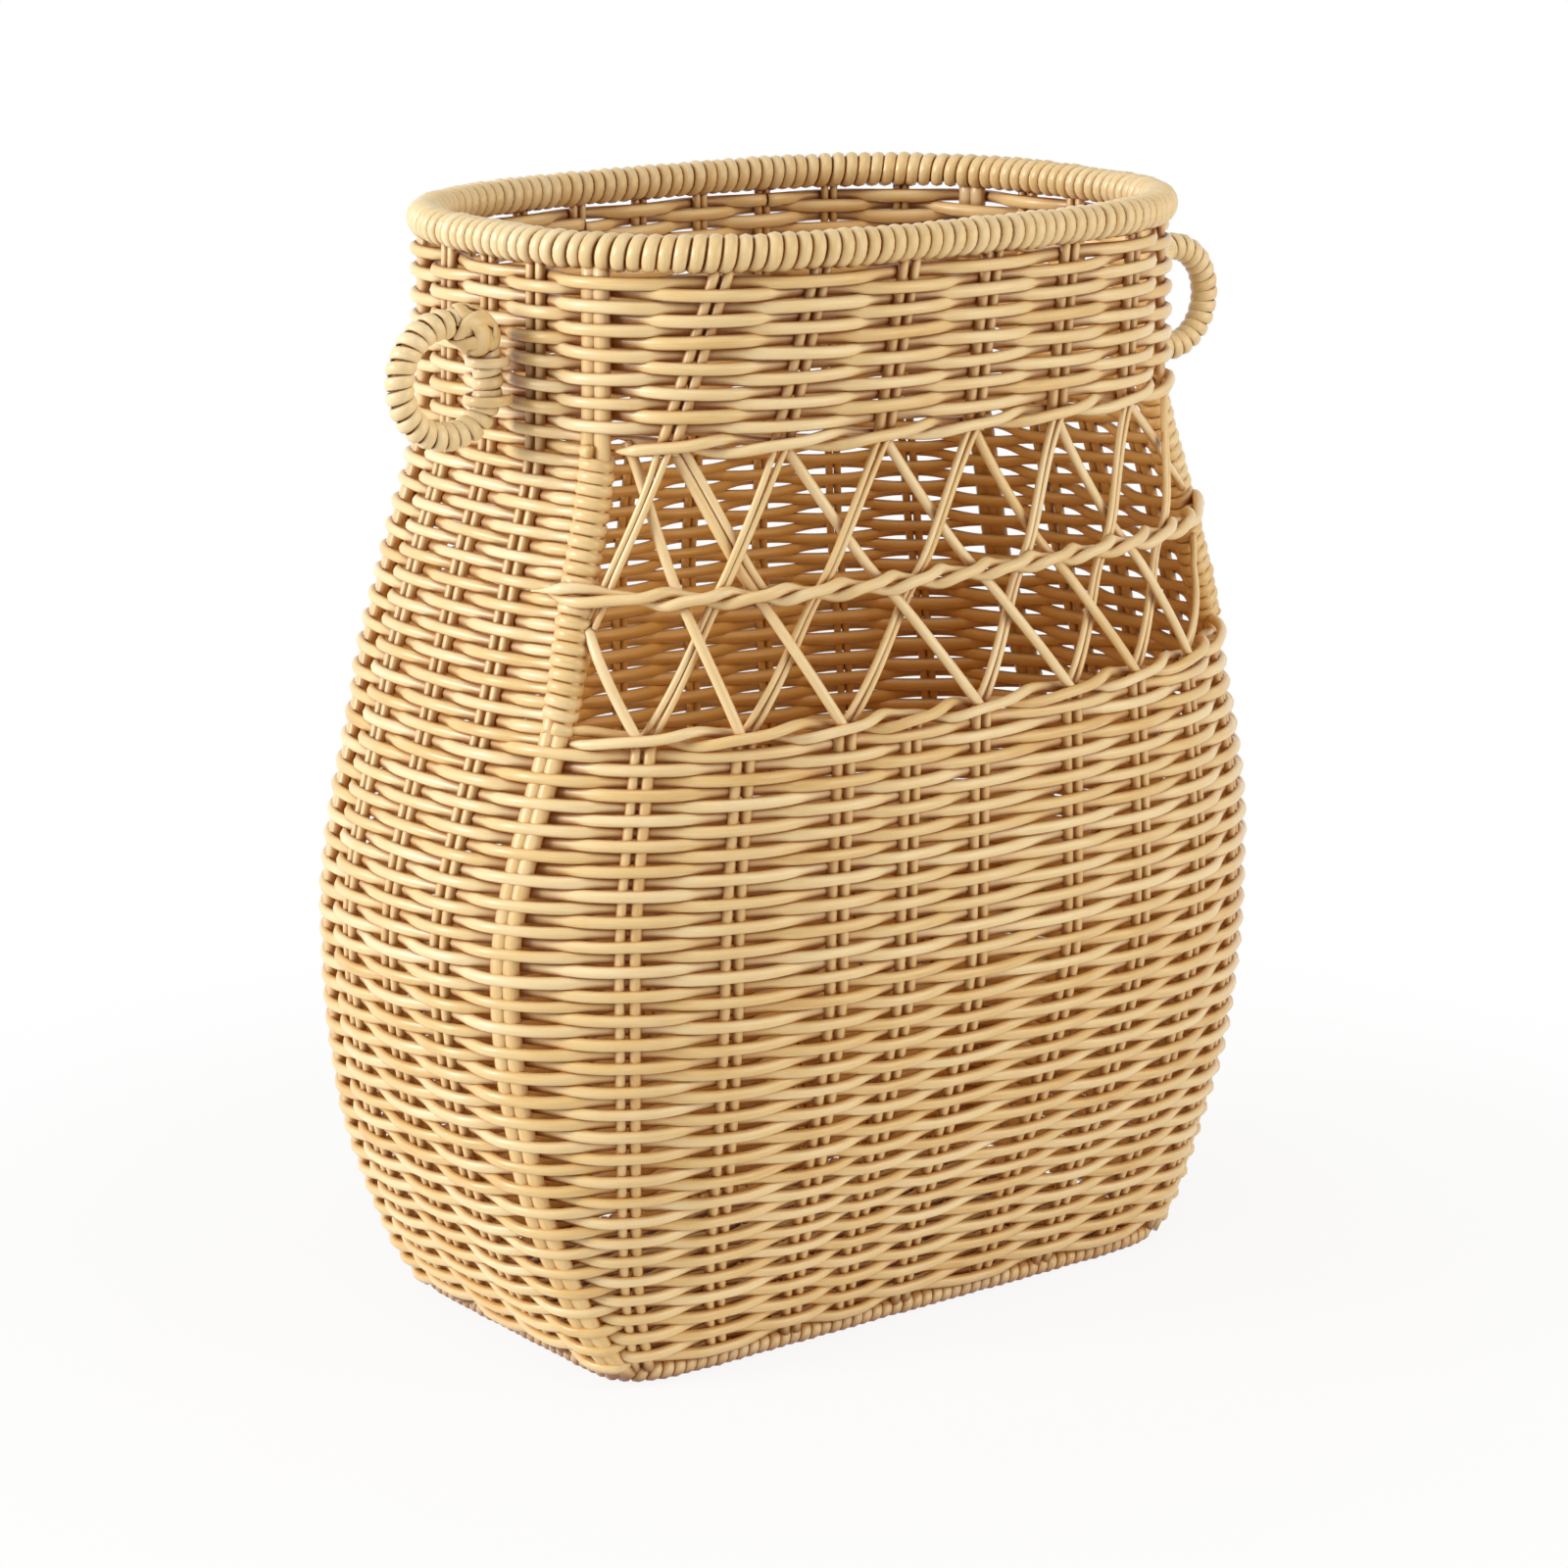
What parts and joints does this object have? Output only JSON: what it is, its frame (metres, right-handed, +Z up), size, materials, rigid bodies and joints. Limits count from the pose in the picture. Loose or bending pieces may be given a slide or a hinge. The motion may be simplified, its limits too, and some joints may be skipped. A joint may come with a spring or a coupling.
{
  "type": "woven pack basket",
  "caption": "Woven cane basket, rectangular at the foot and oval at the rim, with a lattice window, wrapped rim and foot, and a swinging ring handle on each end.",
  "frame": {"origin": "centre of the underside of the foot border, on the surface it stands on", "axes": "+Z up, -Y towards the front with the lattice window, +X to the right seen from the front"},
  "size_m": [0.4226, 0.2676, 0.4595],
  "materials": {
    "woven_cane": "varnished natural cane, woven, semi-gloss",
    "wrapped_cane": "varnished natural cane, wound, semi-gloss",
    "post_cane": "varnished natural cane posts, semi-gloss",
    "lattice_cane": "varnished natural cane rods, semi-gloss",
    "base_cane": "varnished natural cane, woven floor"
  },
  "bodies": {
    "basket": {"foot_border": "wrapped_cane", "base_mat": "base_cane", "rim_hoop": "wrapped_cane", "post_front_left": "post_cane", "post_front_right": "post_cane", "post_back_right": "post_cane", "post_back_left": "post_cane", "lower_weave_front": "woven_cane", "lower_weave_back": "woven_cane", "lower_weave_left": "woven_cane", "lower_weave_right": "woven_cane", "shoulder_weave_back": "woven_cane", "shoulder_weave_left": "woven_cane", "shoulder_weave_right": "woven_cane", "neck_weave_front": "woven_cane", "neck_weave_back": "woven_cane", "neck_weave_left": "woven_cane", "neck_weave_right": "woven_cane", "lattice_single_1": "lattice_cane", "lattice_single_2": "lattice_cane", "lattice_single_3": "lattice_cane", "lattice_single_4": "lattice_cane", "lattice_single_5": "lattice_cane", "lattice_single_6": "lattice_cane", "lattice_single_7": "lattice_cane", "lattice_single_8": "lattice_cane", "lattice_double_1": "lattice_cane", "lattice_double_2": "lattice_cane", "lattice_double_3": "lattice_cane", "lattice_double_4": "lattice_cane", "lattice_double_5": "lattice_cane", "lattice_double_6": "lattice_cane", "lattice_double_7": "lattice_cane", "lattice_double_8": "lattice_cane", "twine_outer": "lattice_cane", "twine_inner": "lattice_cane", "post_wrap_front_left": "wrapped_cane", "post_wrap_front_right": "wrapped_cane", "left_lashing_upper": "lattice_cane", "left_lashing_lower": "lattice_cane", "right_lashing_upper": "lattice_cane", "right_lashing_lower": "lattice_cane"},
    "left_ring": {"left_ring_core": "wrapped_cane", "left_ring_wrap": "wrapped_cane", "left_ring_knot": "wrapped_cane"},
    "right_ring": {"right_ring_core": "wrapped_cane", "right_ring_wrap": "wrapped_cane", "right_ring_knot": "wrapped_cane"}
  },
  "joints": [
    {"name": "left_ring_swing", "type": "hinge", "parent": "basket", "child": "left_ring", "pos_m": [-0.16538, -0.021, 0.4025], "axis": [0, 0, 1], "range_deg": [-75, 75]},
    {"name": "right_ring_swing", "type": "hinge", "parent": "basket", "child": "right_ring", "pos_m": [0.16538, -0.021, 0.4025], "axis": [0, 0, -1], "range_deg": [-75, 75]}
  ]
}
